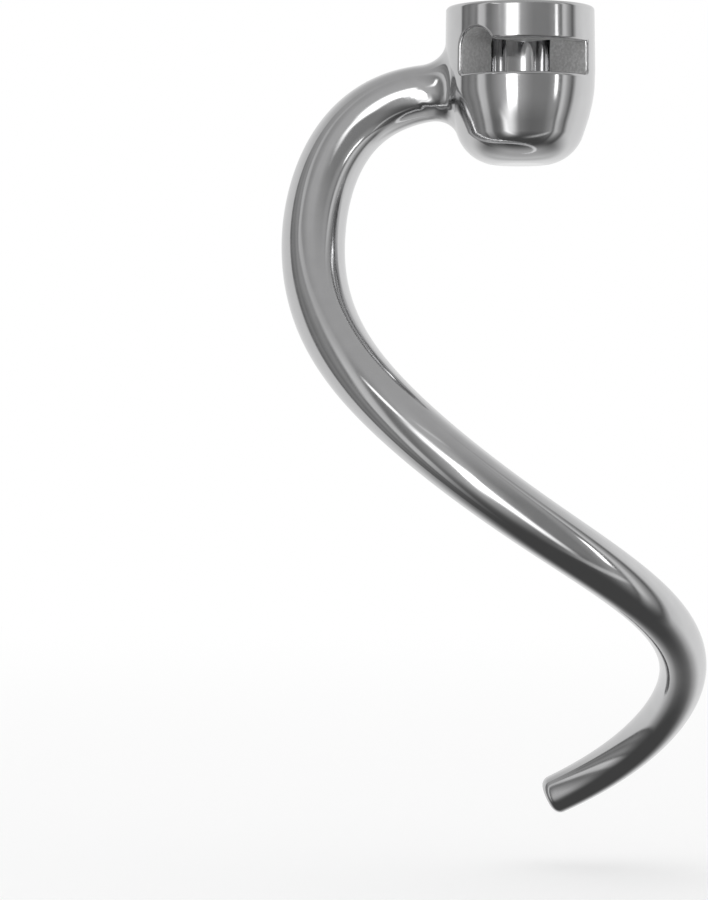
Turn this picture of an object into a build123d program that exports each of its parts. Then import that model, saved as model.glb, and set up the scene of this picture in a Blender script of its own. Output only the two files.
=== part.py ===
from build123d import *
import os
from math import cos, radians, sin

# Spiral dough hook for a stand mixer, cast in stainless steel as one piece.
# A bell-shaped hub takes the drive shaft from above. A tapering rod leaves its side and spirals down.
# The origin is the centre of the hub's top rim, +Z runs up the drive shaft and -Y looks into the pin slot.
# Lengths are millimetres, depths run down from the rim and angles are degrees.

# Hub, turned about the drive axis: a side with a little draft, a steeper taper and a well rounded base.
# Radii are taken at the corners of the outline, before these are rounded.
hub_radius = 16.75
hub_draft = 0.25
side_depth = 20.2
base_radius = 11.8
hub_depth = 35.0
rim_rounding = 0.9
side_rounding = 12.0
base_rounding = 9.5

# Drive bore: blind, with running clearance on a half inch shaft
shaft_diameter = 12.7
shaft_clearance = 0.2
bore_floor = 7.0
bore_lead_in = 0.4

# Bayonet slot for the cross pin of the drive shaft. Directions are taken from the front, + to the right.
front_angle = -90.0
pin_slot_width = 7.8
pin_slot_height = 7.3
pin_slot_top = 8.3
entry_direction = 49.0
entry_wall = 3.3
lock_direction = -37.7
lock_seat_width = 8.8
lock_seat_rise = 2.6
slot_corner_rounding = 1.0
slot_edge_rounding = 0.7

# Centre line of the rod. A turn runs round the axis: 0 left, 90 front, 180 right, 270 back.
# Each drop is how far the line sinks on its way from the last station to the next.
arm_turn = -5.0
arm_depth = 18.8
elbow_turn = -2.0
elbow_radius = 38.4
elbow_drop = 9.5
shoulder_turn = 12.0
shoulder_radius = 46.55
shoulder_drop = 28.8
tip_turn = 257.5
tip_radius = 30.8
coil_drops = (33.6, 22.8, 17.8, 16.6, 17.4, 13.4)

# Thickness of the rod, which swells a little on its way to the shoulder
arm_diameter = 12.9
shoulder_diameter = 14.2
shoulder_share = 0.2
tip_diameter = 8.9
arm_fillet = 5.0
tip_rounding = 2.0
rod_sections = 21

# Sizes that follow from the ones above
bore_radius = shaft_diameter / 2 + shaft_clearance
bore_depth = hub_depth - bore_floor
pin_slot_bottom = pin_slot_top + pin_slot_height
lock_seat_top = pin_slot_top - lock_seat_rise
entry_reach = hub_radius - entry_wall
entry_angle = entry_direction + front_angle
arm_start = (bore_radius + hub_radius) / 2
clear_of_hub = 2 * hub_radius


def from_front(direction):
    """Unit vector that points out of the hub in a direction taken from the front."""
    return Vector(sin(radians(direction)), -cos(radians(direction)), 0)


def rod_point(turn, radius, depth):
    """Point of the rod's centre line."""
    return Vector(-radius * cos(radians(turn)), -radius * sin(radians(turn)), -depth)


def rod_stations():
    """Points that the centre line passes through. The coil turns and closes in by even steps."""
    elbow_depth = arm_depth + elbow_drop
    depth = elbow_depth + shoulder_drop
    stations = [
        rod_point(arm_turn, arm_start, arm_depth),
        rod_point(elbow_turn, elbow_radius, elbow_depth),
        rod_point(shoulder_turn, shoulder_radius, depth),
    ]
    for step, drop in enumerate(coil_drops, start=1):
        share = step / len(coil_drops)
        turn = shoulder_turn + share * (tip_turn - shoulder_turn)
        radius = shoulder_radius + share * (tip_radius - shoulder_radius)
        depth = depth + drop
        stations.append(rod_point(turn, radius, depth))
    return stations


def rod_diameter(share):
    """Thickness at a share of the rod's length."""
    if share < shoulder_share:
        return arm_diameter + (shoulder_diameter - arm_diameter) * share / shoulder_share
    taper = (share - shoulder_share) / (1 - shoulder_share)
    return shoulder_diameter + (tip_diameter - shoulder_diameter) * taper


lock_way = from_front(lock_direction)
entry_way = from_front(entry_direction)
up = Vector(0, 0, 1)

with BuildPart() as dough_hook:
    # Hub: half its outline, turned about the drive axis
    with BuildSketch(Plane.XZ):
        rim_corner = (hub_radius - hub_draft, 0)
        side_corner = (hub_radius, -side_depth)
        base_corner = (base_radius, -hub_depth)
        Polygon((0, 0), (0, -hub_depth), base_corner, side_corner, rim_corner, align=None)
        fillet(vertices().sort_by_distance(base_corner)[0], base_rounding)
        fillet(vertices().sort_by_distance(side_corner)[0], side_rounding)
        fillet(vertices().sort_by_distance(rim_corner)[0], rim_rounding)
    revolve(axis=Axis.Z)

    # Rod: round sections of changing thickness, carried along one smooth line
    with BuildLine():
        rod_line = Spline(*rod_stations())
    for section in range(rod_sections):
        share = section / (rod_sections - 1)
        with BuildSketch(rod_line.location_at(share, frame_method=FrameMethod.CORRECTED)):
            Circle(rod_diameter(share) / 2)
    sweep(path=rod_line, multisection=True)
    fillet(dough_hook.edges(Select.NEW), arm_fillet)
    tip_edge = dough_hook.edges().filter_by(lambda edge: edge.is_closed).sort_by(Axis.Z)[0]
    fillet(tip_edge, tip_rounding)

    # Drive bore
    with BuildSketch():
        Circle(bore_radius)
    extrude(amount=-bore_depth, mode=Mode.SUBTRACT)

    # Pin slot: the pin turns in it, from the entry groove to the lock seat
    with BuildSketch(Plane.XY.offset(-pin_slot_bottom)):
        Polygon((0, 0), lock_way * clear_of_hub, entry_way * clear_of_hub, align=None)
        with Locations(Location((0, 0), entry_angle)):
            Rectangle(clear_of_hub, pin_slot_width, align=(Align.MIN, Align.CENTER))
    extrude(amount=pin_slot_height, mode=Mode.SUBTRACT)

    # Lock seat: the end of the slot, with a round roof that the pin rises into
    seat_centre_depth = lock_seat_top + lock_seat_width / 2
    seat_plane = Plane(origin=(0, 0, -seat_centre_depth), x_dir=up.cross(lock_way), z_dir=lock_way)
    with BuildSketch(seat_plane):
        Circle(lock_seat_width / 2)
        Rectangle(lock_seat_width, pin_slot_bottom - seat_centre_depth, align=(Align.CENTER, Align.MAX))
    extrude(amount=clear_of_hub, mode=Mode.SUBTRACT)

    # Entry groove: lets the pin down from the rim into the slot, inside an unbroken outer wall
    with BuildSketch():
        with Locations(Location((0, 0), entry_angle)):
            Rectangle(entry_reach, pin_slot_width, align=(Align.MIN, Align.CENTER))
        outer_corners = vertices().group_by(lambda corner: Vector(corner).length)[-1]
        fillet(outer_corners, slot_corner_rounding)
    extrude(amount=-pin_slot_top, mode=Mode.SUBTRACT)

    # Cast roundings: the slot's lower corners, then its edges on the outside of the hub
    level_faces = dough_hook.faces().filter_by(Plane.XY)
    slot_floor = level_faces.sort_by(lambda face: abs(face.center().Z + pin_slot_bottom))[0]
    fillet(slot_floor.edges().filter_by(GeomType.LINE), slot_corner_rounding)
    hub_side = dough_hook.faces().filter_by(GeomType.CONE).sort_by(SortBy.AREA)[-1]
    fillet(hub_side.inner_wires().edges(), slot_edge_rounding)

    # Lead-in at the mouth of the bore
    rim_face = dough_hook.faces().filter_by(Plane.XY).sort_by(Axis.Z)[-1]
    chamfer(rim_face.inner_wires().edges().filter_by(GeomType.CIRCLE), bore_lead_in)

dough_hook.part.label = "dough_hook"
os.makedirs("parts", exist_ok=True)
export_step(dough_hook.part, "parts/dough_hook.step")
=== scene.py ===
from math import cos, pi, radians, sin, tan

import bmesh
import bpy
import numpy as np
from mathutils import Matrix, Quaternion, Vector


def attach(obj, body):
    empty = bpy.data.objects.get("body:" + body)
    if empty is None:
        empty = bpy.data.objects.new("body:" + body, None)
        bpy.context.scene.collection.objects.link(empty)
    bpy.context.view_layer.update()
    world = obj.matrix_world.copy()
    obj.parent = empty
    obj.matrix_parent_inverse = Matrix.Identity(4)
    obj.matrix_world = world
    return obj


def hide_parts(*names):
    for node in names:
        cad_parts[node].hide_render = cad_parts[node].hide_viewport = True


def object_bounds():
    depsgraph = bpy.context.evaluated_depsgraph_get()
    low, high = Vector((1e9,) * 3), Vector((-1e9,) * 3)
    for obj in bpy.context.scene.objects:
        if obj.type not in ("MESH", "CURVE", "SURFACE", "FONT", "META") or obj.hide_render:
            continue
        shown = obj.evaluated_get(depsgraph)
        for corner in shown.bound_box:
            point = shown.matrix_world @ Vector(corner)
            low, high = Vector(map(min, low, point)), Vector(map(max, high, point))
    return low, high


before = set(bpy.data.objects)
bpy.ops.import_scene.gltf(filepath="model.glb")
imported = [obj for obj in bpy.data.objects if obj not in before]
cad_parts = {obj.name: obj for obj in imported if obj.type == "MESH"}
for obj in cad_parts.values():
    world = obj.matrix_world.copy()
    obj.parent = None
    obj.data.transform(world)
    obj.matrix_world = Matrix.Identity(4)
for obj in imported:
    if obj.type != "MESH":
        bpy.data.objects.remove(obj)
cad_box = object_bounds()
scene = bpy.context.scene

# The hook's own sizes, as in the solid, are in millimetres and degrees.
# The meshes and the rest of the scene are in metres.
metre = 1000.0

# Hub: half outline, turned about the drive axis. Radii and depths are at the corners before rounding.
hub_radius = 16.75
hub_draft = 0.25
side_depth = 20.2
base_radius = 11.8
hub_depth = 35.0
rim_rounding = 0.9
side_rounding = 12.0
base_rounding = 9.5
bore_radius = 6.55

# The polished side runs into the taper more softly than the solid's does.
# The difference fades out along x towards the arm.
soft_rounding = 36.0
soft_start = -12.5
soft_end = -6.0

# Centre line of the rod: turns run round the drive axis from the left, drops from station to station
arm_turn = -5.0
arm_depth = 18.8
elbow_turn = -2.0
elbow_radius = 38.4
elbow_drop = 9.5
shoulder_turn = 12.0
shoulder_radius = 46.55
shoulder_drop = 28.8
tip_turn = 257.5
tip_radius = 30.8
coil_drops = (33.6, 22.8, 17.8, 16.6, 17.4, 13.4)

# Thickness of the rod
arm_diameter = 12.9
shoulder_diameter = 14.2
shoulder_share = 0.2
crest_softness = 5.0
tip_diameter = 8.9
tip_rounding = 2.0

# Fillet between hub and arm. It runs on along the arm, further at the front and back than above and below.
arm_fillet = 5.0
front_run = 4.6
level_run = 0.8
run_pull = 0.6
fit_fade = 6.0

# Fineness of the meshes
line_samples = 4001
fillet_rings = 16
rod_rings = 300
tip_rings = 8
end_rings = 4
merge_distance = 1e-6
skin_tolerance = 0.004
sharp_angle = 40.0
skin_agreement = cos(radians(30))
never_along = np.array((0.4, 0.9, 0.3))

# Cast pocket in the hub, which the polishing wheel doesn't reach: its radii and depths in metres
pocket_inner = 0.0066
pocket_outer = 0.0161
pocket_top = -0.0004
pocket_bottom = -0.0160
pocket_fade = 0.0003
bore_bottom = -0.0285

# Joint of arm and hub, where the casting keeps small dents: its place and reach in metres
joint_place = (-0.0185, -0.002, -0.0225)
joint_reach = 0.0085

# Finish of the polish and of the cast pocket, each between two tones and two roughnesses
polish_tones = ((0.63, 0.63, 0.635), (0.69, 0.69, 0.695))
polish_roughness = (0.055, 0.10)
mark_roughness = 0.04
cast_tones = ((0.46, 0.46, 0.46), (0.66, 0.66, 0.66))
cast_roughness = (0.40, 0.60)
cast_dullness = 0.55

# Noise values between which a pattern goes from one end of its finish to the other
even_span = (0.3, 0.7)
sparse_span = (0.35, 0.75)

# Patterns of the finish: spots to the metre, heights in metres, and how strongly they show
wave_scale = 70.0
wave_height = 0.00006
wave_strength = 0.35
blotch_scale = 260.0
mark_scale = 2600.0
dent_scale = 300.0
dent_height = 0.0003
streak_scale = 700.0
streak_stretch = 0.02
scoring_height = 0.00005
scoring_strength = 0.3
grain_scale = 1500.0
grain_sharpness = 0.65
grain_height = 0.00012
grain_strength = 0.5

# Camera, in metres: level with the middle of the hook, so it looks a little up at the hub
camera_place = Vector((-0.006, -0.850, -0.094))
camera_aim = Vector((-0.037, 0.0, -0.09845))
camera_lens = 152.64
sensor_height = 36.0

# Floor under the tip: a pale sheet that runs out into the white of the studio
floor_gap = 0.012
floor_reach = 6.0
floor_near = 0.25
floor_far = 1.1
floor_tone = 0.96
floor_roughness = 0.9

# Grey panels of the studio that the polish reflects, in their order round it: from behind, over the left
# and the camera's side, to the right. Each stop has a longitude, which is 0 at the camera's side and + to
# the right, and a brightness. They are no free design: the stops were read from the reflections on the hub
# in the photograph and adjusted with a search against it, and the names only describe the bands. The
# ceiling and the ground are rounded results of that search.
studio_panels = {
    "white wall at the back left": ((-180, 0.88), (-120, 0.76), (-105, 0.72)),
    "dark gap on the left": ((-101.5, 0.14), (-97, 0.22), (-92, 0.27)),
    "dim panel on the left": ((-87, 0.21), (-78, 0.33), (-71.5, 0.23)),
    "left card": ((-67, 0.74), (-58, 0.64)),
    "gap beside the left card": ((-53, 0.23), (-47, 0.22)),
    "glow round the camera": ((-36, 0.37), (-25, 0.55), (-4, 0.54), (1, 0.48), (12, 0.33)),
    "dim front right": ((20, 0.27), (44, 0.26)),
    "wide right card": ((54, 0.38), (61, 0.38)),
    "gap between the right cards": ((66, 0.18),),
    "narrow right card": ((69.5, 0.72), (73.5, 0.72)),
    "shaded side of the narrow card": ((78, 0.46), (84, 0.27), (88, 0.12)),
    "white wall at the back right": ((93, 0.44), (97, 0.73), (116, 0.86), (180, 0.88)),
}
ceiling_brightness = 0.46
ceiling_start = 24
ceiling_end = 88
ground_brightness = 0.075
ground_tilt = 7.5
ground_start = -20
ground_end = -64

# Spread of a softbox without a grid in front of it, in degrees
open_spread = 180


def unit(vectors):
    """Vectors scaled to length one."""
    return vectors / np.linalg.norm(vectors, axis=-1, keepdims=True)


def dot(first, second):
    """Dot products of two lists of vectors."""
    return np.einsum("...k,...k->...", first, second)


def hub_skin(points, waist_rounding):
    """Height of points above the hub's outside, and the outside's normals there.

    The outside is a polygon turned about the z axis, with an arc in each corner. A point in the sector of
    an arc is measured from the arc's centre, which lies on the corner's bisector, and any other point from
    the polygon.
    """
    corners = np.array(
        (
            (0.0, 0.0),
            (hub_radius - hub_draft, 0.0),
            (hub_radius, -side_depth),
            (base_radius, -hub_depth),
            (0.0, -hub_depth),
        )
    )
    roundings = (rim_rounding, waist_rounding, base_rounding)
    ways = unit(np.diff(corners, axis=0))
    flats = np.column_stack((-ways[:, 1], ways[:, 0]))
    radius = np.hypot(points[:, 0], points[:, 1])
    spots = np.column_stack((radius, points[:, 2]))
    heights = spots @ flats.T - dot(corners[:-1], flats)
    height = heights.max(axis=1)
    normal = flats[heights.argmax(axis=1)]
    for corner, rounding, before, after in zip(corners[1:], roundings, flats, flats[1:]):
        middle = unit(before + after)
        spread = middle @ before
        centre = corner - middle * rounding / spread
        reach = np.linalg.norm(spots - centre, axis=1)
        in_sector = (spots - centre) @ middle > spread * reach
        height = np.where(in_sector, reach - rounding, height)
        normal = np.where(in_sector[:, None], (spots - centre) / reach[:, None], normal)
    around = points[:, :2] / np.maximum(radius, merge_distance)[:, None]
    return height, np.column_stack((around * normal[:, :1], normal[:, 1]))


def soften(points):
    """Hub points moved in to the softer waist, their normals, and which of them lie on the outside.

    The share of the move is a smooth step along x, so that it leaves out the arm's side.
    """
    height, normal = hub_skin(points, side_rounding)
    soft_height, soft_normal = hub_skin(points, soft_rounding)
    share = np.clip((points[:, :1] - soft_start) / (soft_end - soft_start), 0, 1)
    share = share * share * (3 - 2 * share)
    outside = np.abs(height) < skin_tolerance
    moved = points - np.where(outside, soft_height, 0.0)[:, None] * share * soft_normal
    return moved, unit(normal + share * (soft_normal - normal)), outside


def rod_stations():
    """Points that the centre line passes through. The coil turns and closes in by even steps."""
    share = np.arange(1, len(coil_drops) + 1) / len(coil_drops)
    arm_start = (bore_radius + hub_radius) / 2
    coil_turns = shoulder_turn + share * (tip_turn - shoulder_turn)
    coil_radii = shoulder_radius + share * (tip_radius - shoulder_radius)
    angles = np.radians(np.r_[arm_turn, elbow_turn, shoulder_turn, coil_turns])
    radii = np.r_[arm_start, elbow_radius, shoulder_radius, coil_radii]
    depths = np.cumsum(np.r_[arm_depth, elbow_drop, shoulder_drop, coil_drops])
    return np.column_stack((-radii * np.cos(angles), -radii * np.sin(angles), -depths))


def station_slopes():
    """Slopes of the smooth cubic line at its stations.

    Curvature runs on through each inner station. The slope at an end is that of the cubic through the four
    stations nearest to it.
    """
    steps = np.diff(knots)
    chords = np.diff(stations, axis=0) / steps[:, None]
    inner = np.arange(1, len(knots) - 1)
    system = np.eye(len(knots))
    system[inner, inner - 1] = 1 / steps[:-1]
    system[inner, inner] = 2 / steps[:-1] + 2 / steps[1:]
    system[inner, inner + 1] = 1 / steps[1:]
    target = np.zeros_like(stations)
    target[inner] = 3 * (chords[:-1] / steps[:-1, None] + chords[1:] / steps[1:, None])
    target[0] = np.polyfit(knots[:4] - knots[0], stations[:4], 3)[2]
    target[-1] = np.polyfit(knots[-4:] - knots[-1], stations[-4:], 3)[2]
    return np.linalg.solve(system, target)


def rod_line(knot):
    """Points of the centre line and its directions.

    Between two stations, the line is the cubic that has their places and slopes.
    """
    piece = np.clip(np.searchsorted(knots, knot, side="right") - 1, 0, len(knots) - 2)
    step = (knots[piece + 1] - knots[piece])[..., None]
    part = (knot - knots[piece])[..., None] / step
    start = stations[piece]
    leave = slopes[piece] * step
    arrive = slopes[piece + 1] * step
    square = 3 * (stations[piece + 1] - start) - 2 * leave - arrive
    cube = 2 * (start - stations[piece + 1]) + leave + arrive
    place = start + part * (leave + part * (square + part * cube))
    return place, unit(leave + part * (2 * square + 3 * part * cube))


def rod_frame(length):
    """Place, direction and two cross directions of the rod. The rod never runs along never_along."""
    place, along = rod_line(np.interp(length, line_lengths, line_knots))
    side = unit(np.cross(along, never_along))
    return place, along, side, np.cross(side, along)


def rod_radius(length):
    """Half thickness: two straight tapers that meet at the shoulder, joined there by a hyperbola."""
    past = length / rod_length - shoulder_share
    swell = (shoulder_diameter - arm_diameter) / shoulder_share
    taper = (tip_diameter - shoulder_diameter) / (1 - shoulder_share)
    crest = np.hypot(past, crest_softness / rod_length)
    return (shoulder_diameter + (swell + taper) / 2 * past + (taper - swell) / 2 * crest) / 2


stations = rod_stations()
knots = np.r_[0.0, np.cumsum(np.linalg.norm(np.diff(stations, axis=0), axis=1))]
slopes = station_slopes()
line_knots = np.linspace(0.0, knots[-1], line_samples)
line_places, line_ways = rod_line(line_knots)
line_lengths = np.r_[0.0, np.cumsum(np.linalg.norm(np.diff(line_places, axis=0), axis=1))]
rod_length = line_lengths[-1]


def hub_faces():
    """Corner points and triangles of the hub: a merged copy of the solid's mesh, without its rod."""
    copy = bmesh.new()
    copy.from_mesh(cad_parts["dough_hook"].data)
    bmesh.ops.remove_doubles(copy, verts=copy.verts, dist=merge_distance)
    merged = bpy.data.meshes.new("merged")
    copy.to_mesh(merged)
    copy.free()
    places = np.empty(len(merged.vertices) * 3)
    merged.vertices.foreach_get("co", places)
    places = places.reshape(-1, 3) * metre
    corners = np.empty(len(merged.loops), int)
    merged.loops.foreach_get("vertex_index", corners)
    bpy.data.meshes.remove(merged)
    triangles = corners.reshape(-1, 3)
    in_hub = hub_skin(places, side_rounding)[0] < skin_tolerance
    kept, triangles = np.unique(triangles[in_hub[triangles].all(axis=1)], return_inverse=True)
    return places[kept], triangles.reshape(-1, 3)


def open_edge(triangles):
    """Corner points on the open edge of a mesh: those of edges that only one triangle has."""
    edges = np.sort(triangles[:, [0, 1, 1, 2, 2, 0]].reshape(-1, 2), axis=1)
    edges, uses = np.unique(edges, axis=0, return_counts=True)
    return np.unique(edges[uses == 1])


def arm_and_rod(seam):
    """Rings of points from the seam on the hub to the rod's end, as rings x round x 3.

    Fillet: a ball that touches the hub at a seam point has its centre one ball radius out along the hub's
    normal. It touches the rod on the line from its centre to the foot, which is the nearest point of the
    centre line. From there the fillet runs on along the rod, most of all at the front and back. It is a cubic
    curve that leaves the seam along the hub and arrives along the rod. Its pulls are those that give the
    ball's arc, and the one on the rod has a share of the run added.
    Rod: circles of changing radius, carried along the centre line from the fillet to the tip. Where the ball
    leaves a little more or less room than the rod needs, the rod takes it up, fading out by a bell curve.
    Tip: a quarter circle carried round the end, and rings that close in on its middle.
    """
    centres = seam + arm_fillet * hub_skin(seam, side_rounding)[1]
    nearest = np.linalg.norm(centres[:, None] - line_places, axis=2).argmin(axis=1)
    starts = line_lengths[nearest] + dot(centres - line_places[nearest], line_ways[nearest])
    foot, _, side, lift = rod_frame(starts)
    reach = np.linalg.norm(centres - foot, axis=1)
    angles = np.arctan2(dot(centres - foot, lift), dot(centres - foot, side))
    order = np.argsort(angles)
    seam, centres, foot = seam[order], centres[order], foot[order]
    starts, reach, angles = starts[order], reach[order], angles[order]

    front = (centres[:, 1] - foot[:, 1]) / reach
    run = level_run + (front_run - level_run) * front * front
    share = np.linspace(0, 1, rod_rings + 1)[:, None]
    lengths = starts + run + share * (rod_length - tip_rounding - starts - run)
    misfit = reach - arm_fillet - rod_radius(starts)
    radii = rod_radius(lengths) + misfit * np.exp(-(((lengths - starts) / fit_fade) ** 2))
    place, along, side, lift = rod_frame(lengths)
    outward = np.cos(angles)[:, None] * side + np.sin(angles)[:, None] * lift
    rod = place + radii[..., None] * outward

    from_hub = unit(seam - centres)
    to_rod = unit(foot - centres)
    sweep = np.arccos(dot(from_hub, to_rod))[:, None]
    pull = 4 / 3 * np.tan(sweep / 4) * arm_fillet
    hub_pull = seam + pull * unit(to_rod - np.cos(sweep) * from_hub)
    rod_pull = rod[0] - (pull + run_pull * run[:, None]) * along[0]
    share = np.linspace(0, 1, fillet_rings + 1)[1:-1, None, None]
    near_hub = (1 - share) ** 3 * seam + 3 * share * (1 - share) ** 2 * hub_pull
    near_rod = 3 * share**2 * (1 - share) * rod_pull + share**3 * rod[0]
    fillet = near_hub + near_rod

    turn = np.linspace(0, np.pi / 2, tip_rings + 1)[1:, None, None]
    end_radius = radii[-1][:, None] - tip_rounding
    tip = place[-1] + tip_rounding * np.sin(turn) * along[-1]
    tip = tip + (end_radius + tip_rounding * np.cos(turn)) * outward[-1]
    end_middle = place[-1] + tip_rounding * along[-1]
    closing = np.linspace(1, 0, end_rings + 1)[1:-1, None, None]
    end = end_middle + closing * end_radius * outward[-1]
    return order, np.concatenate((fillet, rod, tip, end)), end_middle[0]


def ring_quads(rings, around, first):
    """Four-sided faces between neighbouring rings of points that are numbered ring by ring."""
    ring = np.arange(rings - 1)[:, None] * around + first
    here = np.arange(around)
    after = (here + 1) % around
    faces = np.stack((ring + here, ring + around + here, ring + around + after, ring + after), axis=-1)
    return faces.reshape(-1, 4)


def hook_mesh():
    """One closed mesh of hub, fillet, rod and tip, with true normals on the hub's outside."""
    hub, triangles = hub_faces()
    seam = open_edge(triangles)
    order, rings, end_middle = arm_and_rod(hub[seam])
    seam = seam[order]
    around = len(seam)
    soft_hub, hub_normals, outside = soften(hub)
    points = np.concatenate((soft_hub, rings.reshape(-1, 3), end_middle[None]))
    first = len(hub)
    quads = ring_quads(len(rings), around, first)
    here = np.arange(around)
    after = (here + 1) % around
    joint = np.column_stack((seam, first + here, first + after, seam[after]))
    last = len(points) - 1
    cap = np.column_stack((last - around + here, np.full(around, last), last - around + after))
    faces = triangles.tolist() + joint.tolist() + quads.tolist() + cap.tolist()
    mesh = bpy.data.meshes.new("hook_casting")
    mesh.from_pydata(points / metre, [], faces)
    mesh.polygons.foreach_set("use_smooth", np.ones(len(mesh.polygons), bool))
    mesh.set_sharp_from_angle(angle=radians(sharp_angle))
    mesh.update()

    true_normals = np.zeros_like(points)
    true_normals[:first][outside] = hub_normals[outside]
    corners = np.empty(len(mesh.loops), int)
    mesh.loops.foreach_get("vertex_index", corners)
    sides = np.empty(len(mesh.polygons), int)
    mesh.polygons.foreach_get("loop_total", sides)
    face_normals = np.empty(len(mesh.polygons) * 3)
    mesh.polygons.foreach_get("normal", face_normals)
    face_normals = np.repeat(face_normals.reshape(-1, 3), sides, axis=0)
    corner_normals = true_normals[corners]
    agree = dot(corner_normals, face_normals) > skin_agreement
    mesh.normals_split_custom_set(np.where(agree[:, None], corner_normals, 0.0))
    return mesh


def maths(tree, operation, first, second=0.0):
    """Math node whose inputs are sockets or numbers; gives its output socket."""
    node = tree.nodes.new("ShaderNodeMath")
    node.operation = operation
    for socket, value in zip(node.inputs, (first, second)):
        if isinstance(value, (int, float)):
            socket.default_value = value
        else:
            tree.links.new(value, socket)
    return node.outputs[0]


def ramp(tree, value, start, end, low=0.0, high=1.0):
    """Smooth step of a value: low up to start, high from end on."""
    node = tree.nodes.new("ShaderNodeMapRange")
    node.interpolation_type = "SMOOTHSTEP"
    node.inputs["From Min"].default_value = start
    node.inputs["From Max"].default_value = end
    node.inputs["To Min"].default_value = low
    node.inputs["To Max"].default_value = high
    tree.links.new(value, node.inputs["Value"])
    return node.outputs[0]


def noise(tree, place, scale, detail, roughness=0.5):
    """Noise of the place in space, from 0 to 1."""
    node = tree.nodes.new("ShaderNodeTexNoise")
    node.inputs["Scale"].default_value = scale
    node.inputs["Detail"].default_value = detail
    node.inputs["Roughness"].default_value = roughness
    tree.links.new(place, node.inputs["Vector"])
    return node.outputs["Fac"]


def blend(tree, share, first, second):
    """Mix of two colours, each a socket or a triple, by a share."""
    node = tree.nodes.new("ShaderNodeMix")
    node.data_type = "RGBA"
    tree.links.new(share, node.inputs["Factor"])
    for socket, colour in zip((node.inputs[6], node.inputs[7]), (first, second)):
        if isinstance(colour, tuple):
            socket.default_value = (*colour, 1.0)
        else:
            tree.links.new(colour, socket)
    return node.outputs[2]


def grey(brightness):
    """Colour without a tint."""
    return (brightness, brightness, brightness)


def studio_world():
    """World whose reflections show a ring of grey panels between a ceiling and a dark ground.

    The brightness goes evenly from one stop of the ring to the next, and by smooth steps of the height
    into the ceiling and the tilted ground. The eye and the floor see plain white.
    """
    world = bpy.data.worlds.new("studio")
    world.use_nodes = True
    tree = world.node_tree
    nodes, links = tree.nodes, tree.links
    direction = nodes.new("ShaderNodeTexCoord").outputs["Generated"]
    split = nodes.new("ShaderNodeSeparateXYZ")
    links.new(direction, split.inputs[0])
    ahead = maths(tree, "MULTIPLY", split.outputs["Y"], -1.0)
    longitude = maths(tree, "ARCTAN2", split.outputs["X"], ahead)
    round_share = maths(tree, "ADD", maths(tree, "DIVIDE", longitude, radians(360)), 0.5)
    ring = nodes.new("ShaderNodeValToRGB")
    links.new(round_share, ring.inputs[0])
    ring.color_ramp.interpolation = "LINEAR"
    stops = ring.color_ramp.elements
    panel_stops = [panel_stop for panel in studio_panels.values() for panel_stop in panel]
    while len(stops) < len(panel_stops):
        stops.new(1.0)
    for stop, (angle, brightness) in zip(stops, panel_stops):
        stop.position = angle / 360 + 0.5
        stop.color = (*grey(brightness), 1.0)
    height = split.outputs["Z"]
    up_share = ramp(tree, height, sin(radians(ceiling_start)), sin(radians(ceiling_end)))
    with_ceiling = blend(tree, up_share, ring.outputs["Color"], grey(ceiling_brightness))
    tilted = maths(tree, "MULTIPLY", split.outputs["Y"], sin(radians(ground_tilt)))
    above = maths(tree, "ADD", maths(tree, "MULTIPLY", height, cos(radians(ground_tilt))), tilted)
    down_share = ramp(tree, above, sin(radians(ground_start)), sin(radians(ground_end)))
    with_ground = blend(tree, down_share, with_ceiling, grey(ground_brightness))
    path = nodes.new("ShaderNodeLightPath")
    seen = blend(tree, path.outputs["Is Glossy Ray"], grey(1.0), with_ground)
    links.new(seen, nodes["Background"].inputs["Color"])
    scene.world = world


def softbox(name, place, facing, size, softness, brightness, tilt=0, spread=open_spread):
    """Flat light of a width and height that shines in one direction, turned about that direction by a tilt.

    Its brightness rises in a smooth step from each edge. The softness is the share of width and of height
    that the step takes. A smaller spread stands for a grid in front of the light: seen off its axis, it dims
    to nothing. The energy is set so that the light is as bright on its axis with a grid as without one.
    """
    width, height = size
    light = bpy.data.lights.new(name, "AREA")
    light.shape = "RECTANGLE"
    light.size = width
    light.size_y = height
    light.energy = brightness * pi * width * height
    if spread < open_spread:
        light.spread = radians(spread)
        half = radians(spread / 2)
        light.energy *= (tan(half) - half) / tan(half)
    light.use_nodes = True
    tree = light.node_tree
    split = tree.nodes.new("ShaderNodeSeparateXYZ")
    tree.links.new(tree.nodes.new("ShaderNodeNewGeometry").outputs["Parametric"], split.inputs[0])
    fades = []
    for across, share in zip(split.outputs, softness):
        from_edge = maths(tree, "MINIMUM", across, maths(tree, "SUBTRACT", 1.0, across))
        fades.append(ramp(tree, from_edge, 0.0, share))
    tree.links.new(maths(tree, "MULTIPLY", *fades), tree.nodes["Emission"].inputs["Strength"])
    lamp = bpy.data.objects.new(name, light)
    lamp.location = place
    lamp.rotation_mode = "QUATERNION"
    turn = Quaternion(facing, radians(-tilt))
    lamp.rotation_quaternion = turn @ Vector(facing).to_track_quat("-Z", "Y")
    lamp.visible_camera = False
    lamp.visible_diffuse = False
    scene.collection.objects.link(lamp)


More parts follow.
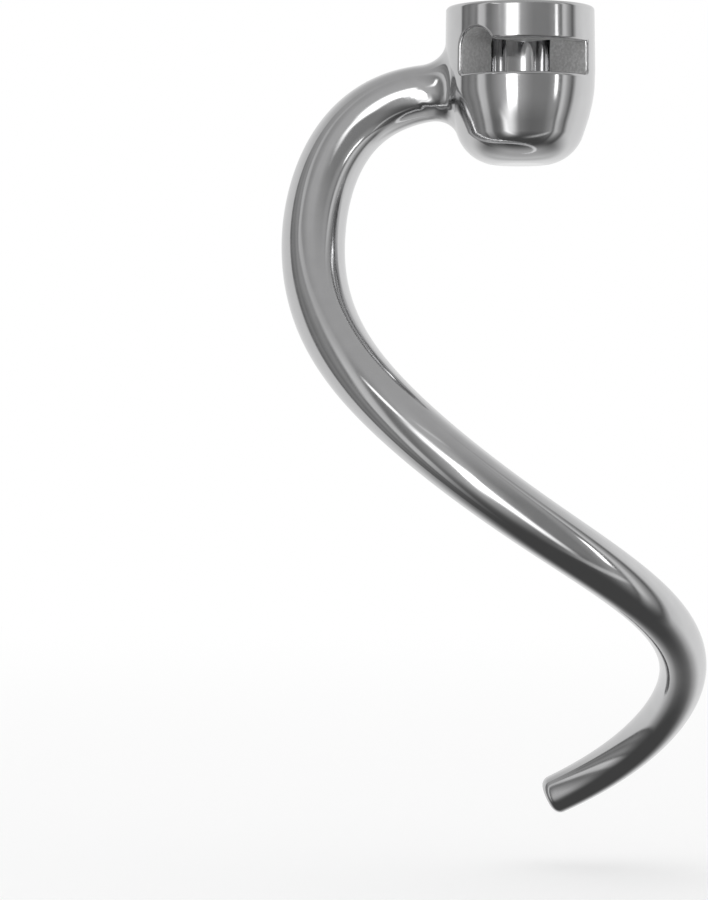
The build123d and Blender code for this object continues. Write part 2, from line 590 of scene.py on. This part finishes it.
def polished_stainless():
    """Polished casting: bright with soft waves and fine marks, streaked in the bore, matt in the pocket.

    The pocket is a ring about the drive axis with smooth steps at its walls, rim and floor. Each pattern is
    noise in the hook's own space: it mixes tones, adds roughness or lifts the surface a little.
    """
    material = bpy.data.materials.new("polished_stainless")
    material.use_nodes = True
    tree = material.node_tree
    nodes, links = tree.nodes, tree.links
    shader = nodes["Principled BSDF"]
    place = nodes.new("ShaderNodeTexCoord").outputs["Object"]
    split = nodes.new("ShaderNodeSeparateXYZ")
    links.new(place, split.inputs[0])
    x, y, z = split.outputs
    across = maths(tree, "MULTIPLY", x, x)
    ahead = maths(tree, "MULTIPLY", y, y)
    radius = maths(tree, "SQRT", maths(tree, "ADD", across, ahead))
    beyond_bore = ramp(tree, radius, pocket_inner, pocket_inner + pocket_fade)
    inside_wall = ramp(tree, radius, pocket_outer, pocket_outer - pocket_fade)
    under_rim = ramp(tree, z, pocket_top, pocket_top - pocket_fade)
    over_floor = ramp(tree, z, pocket_bottom - pocket_fade, pocket_bottom)
    level = maths(tree, "MULTIPLY", under_rim, over_floor)
    pocket = maths(tree, "MULTIPLY", maths(tree, "MULTIPLY", beyond_bore, inside_wall), level)
    outside_pocket = maths(tree, "SUBTRACT", 1.0, pocket)
    over_bottom = ramp(tree, z, bore_bottom, bore_bottom + pocket_fade)
    in_bore = maths(tree, "MULTIPLY", maths(tree, "SUBTRACT", 1.0, beyond_bore), over_bottom)

    from_joint = nodes.new("ShaderNodeVectorMath")
    from_joint.operation = "DISTANCE"
    from_joint.inputs[1].default_value = joint_place
    links.new(place, from_joint.inputs[0])
    joint = ramp(tree, from_joint.outputs["Value"], joint_reach, 0.0)

    waves = noise(tree, place, wave_scale, detail=1)
    blotches = noise(tree, place, blotch_scale, detail=3)
    marks = noise(tree, place, mark_scale, detail=2)
    dimples = noise(tree, place, dent_scale, detail=1)
    cast_grain = noise(tree, place, grain_scale, detail=4, roughness=grain_sharpness)
    upright = nodes.new("ShaderNodeMapping")
    upright.inputs["Scale"].default_value = (1.0, 1.0, streak_stretch)
    links.new(place, upright.inputs["Vector"])
    streaks = noise(tree, upright.outputs["Vector"], streak_scale, detail=2)

    tone = blend(tree, blotches, *polish_tones)
    cast_tone = blend(tree, ramp(tree, cast_grain, *sparse_span), *cast_tones)
    links.new(blend(tree, pocket, tone, cast_tone), shader.inputs["Base Color"])
    dullness = maths(tree, "MULTIPLY", pocket, cast_dullness)
    links.new(maths(tree, "SUBTRACT", 1.0, dullness), shader.inputs["Metallic"])

    even_polish = ramp(tree, blotches, *even_span, *polish_roughness)
    polish = maths(tree, "ADD", even_polish, ramp(tree, marks, *sparse_span, 0.0, mark_roughness))
    matt = ramp(tree, cast_grain, *even_span, *cast_roughness)
    polish_share = maths(tree, "MULTIPLY", polish, outside_pocket)
    finish = maths(tree, "ADD", polish_share, maths(tree, "MULTIPLY", matt, pocket))
    links.new(finish, shader.inputs["Roughness"])

    swell = nodes.new("ShaderNodeBump")
    swell.inputs["Strength"].default_value = wave_strength
    swell.inputs["Distance"].default_value = wave_height
    links.new(waves, swell.inputs["Height"])
    dents = nodes.new("ShaderNodeBump")
    dents.inputs["Distance"].default_value = dent_height
    links.new(joint, dents.inputs["Strength"])
    links.new(dimples, dents.inputs["Height"])
    links.new(swell.outputs["Normal"], dents.inputs["Normal"])
    scoring = nodes.new("ShaderNodeBump")
    scoring.inputs["Distance"].default_value = scoring_height
    links.new(maths(tree, "MULTIPLY", in_bore, scoring_strength), scoring.inputs["Strength"])
    links.new(streaks, scoring.inputs["Height"])
    links.new(dents.outputs["Normal"], scoring.inputs["Normal"])
    grain = nodes.new("ShaderNodeBump")
    grain.inputs["Distance"].default_value = grain_height
    links.new(maths(tree, "MULTIPLY", pocket, grain_strength), grain.inputs["Strength"])
    links.new(cast_grain, grain.inputs["Height"])
    links.new(scoring.outputs["Normal"], grain.inputs["Normal"])
    links.new(grain.outputs["Normal"], shader.inputs["Normal"])
    return material


def pale_floor():
    """Flat sheet under the tip: matt and pale near the hook, running out into the white of the studio."""
    mesh = bpy.data.meshes.new("floor")
    level = cad_box[0].z - floor_gap
    corners = [(x * floor_reach, y * floor_reach, level) for x, y in ((-1, -1), (1, -1), (1, 1), (-1, 1))]
    mesh.from_pydata(corners, [], [(0, 1, 2, 3)])
    floor = bpy.data.objects.new("floor", mesh)
    material = bpy.data.materials.new("pale_floor")
    material.use_nodes = True
    tree = material.node_tree
    nodes, links = tree.nodes, tree.links
    shader = nodes["Principled BSDF"]
    shader.inputs["Base Color"].default_value = (*grey(floor_tone), 1.0)
    shader.inputs["Roughness"].default_value = floor_roughness
    shader.inputs["Specular IOR Level"].default_value = 0.0
    away = nodes.new("ShaderNodeVectorMath")
    away.operation = "LENGTH"
    links.new(nodes.new("ShaderNodeTexCoord").outputs["Object"], away.inputs[0])
    white = nodes.new("ShaderNodeEmission")
    white.inputs["Color"].default_value = (*grey(1.0), 1.0)
    fade = nodes.new("ShaderNodeMixShader")
    links.new(ramp(tree, away.outputs["Value"], floor_near, floor_far), fade.inputs["Fac"])
    links.new(shader.outputs["BSDF"], fade.inputs[1])
    links.new(white.outputs["Emission"], fade.inputs[2])
    one_sided = nodes.new("ShaderNodeMixShader")
    links.new(nodes.new("ShaderNodeNewGeometry").outputs["Backfacing"], one_sided.inputs["Fac"])
    links.new(fade.outputs["Shader"], one_sided.inputs[1])
    links.new(nodes.new("ShaderNodeBsdfTransparent").outputs["BSDF"], one_sided.inputs[2])
    links.new(one_sided.outputs["Shader"], nodes["Material Output"].inputs["Surface"])
    mesh.materials.append(material)
    floor.visible_glossy = False
    scene.collection.objects.link(floor)


hook = bpy.data.objects.new("hook_casting", hook_mesh())
hook.data.materials.append(polished_stainless())
scene.collection.objects.link(hook)
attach(hook, "root")
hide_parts("dough_hook")

studio_world()
pale_floor()

# Softboxes, named for what they light or where they stand: places and sizes in metres, angles in degrees.
# The high and low strips are rounded results of the same search as the panels. The key, the bell glow and
# the arm light started from it and were moved, and the others were set one by one.
forward = (0.0, 1.0, 0.0)
upward = (0.0, 0.0, 1.0)
softbox(
    "key_strip",
    place=(-0.071, -0.312, -0.060),
    facing=(0.23, 0.97, 0.12),
    size=(0.106, 0.300),
    softness=(0.20, 0.40),
    brightness=4.0,
    spread=56,
)
softbox(
    "bell_glow",
    place=(-0.042, -0.118, -0.084),
    facing=(0.20, 0.60, 0.78),
    size=(0.080, 0.110),
    softness=(0.5, 0.5),
    brightness=1.6,
    spread=84,
)
softbox(
    "rod_strip",
    place=(-0.007, -0.090, -0.114),
    facing=(0.05, 1.00, -0.08),
    size=(0.022, 0.160),
    softness=(0.5, 0.20),
    brightness=2.6,
    tilt=45,
    spread=100,
)
softbox(
    "arm_light",
    place=(-0.028, -0.120, 0.009),
    facing=(-0.06, 0.96, -0.27),
    size=(0.060, 0.068),
    softness=(0.32, 0.32),
    brightness=2.4,
    spread=70,
)
softbox(
    "high_strip",
    place=(-0.247, -0.279, 0.153),
    facing=forward,
    size=(0.063, 0.314),
    softness=(0.4, 0.4),
    brightness=1.9,
    tilt=41,
)
softbox(
    "low_strip",
    place=(0.200, -0.200, -0.255),
    facing=forward,
    size=(0.080, 0.420),
    softness=(0.4, 0.4),
    brightness=0.4,
    tilt=-87,
)
softbox(
    "right_strip",
    place=(0.505, -0.330, -0.040),
    facing=(-0.84, 0.54, 0.0),
    size=(0.070, 0.320),
    softness=(0.3, 0.3),
    brightness=2.4,
)
softbox(
    "hub_fill",
    place=(0.000, 0.012, -0.085),
    facing=upward,
    size=(0.110, 0.080),
    softness=(0.4, 0.35),
    brightness=0.42,
)

camera = bpy.data.cameras.new("camera")
camera.lens = camera_lens
camera.sensor_fit = "VERTICAL"
camera.sensor_height = sensor_height
camera_object = bpy.data.objects.new("camera", camera)
camera_object.location = camera_place
camera_object.rotation_euler = (camera_aim - camera_place).to_track_quat("-Z", "Y").to_euler()
scene.collection.objects.link(camera_object)
scene.camera = camera_object
scene.view_settings.view_transform = "Standard"
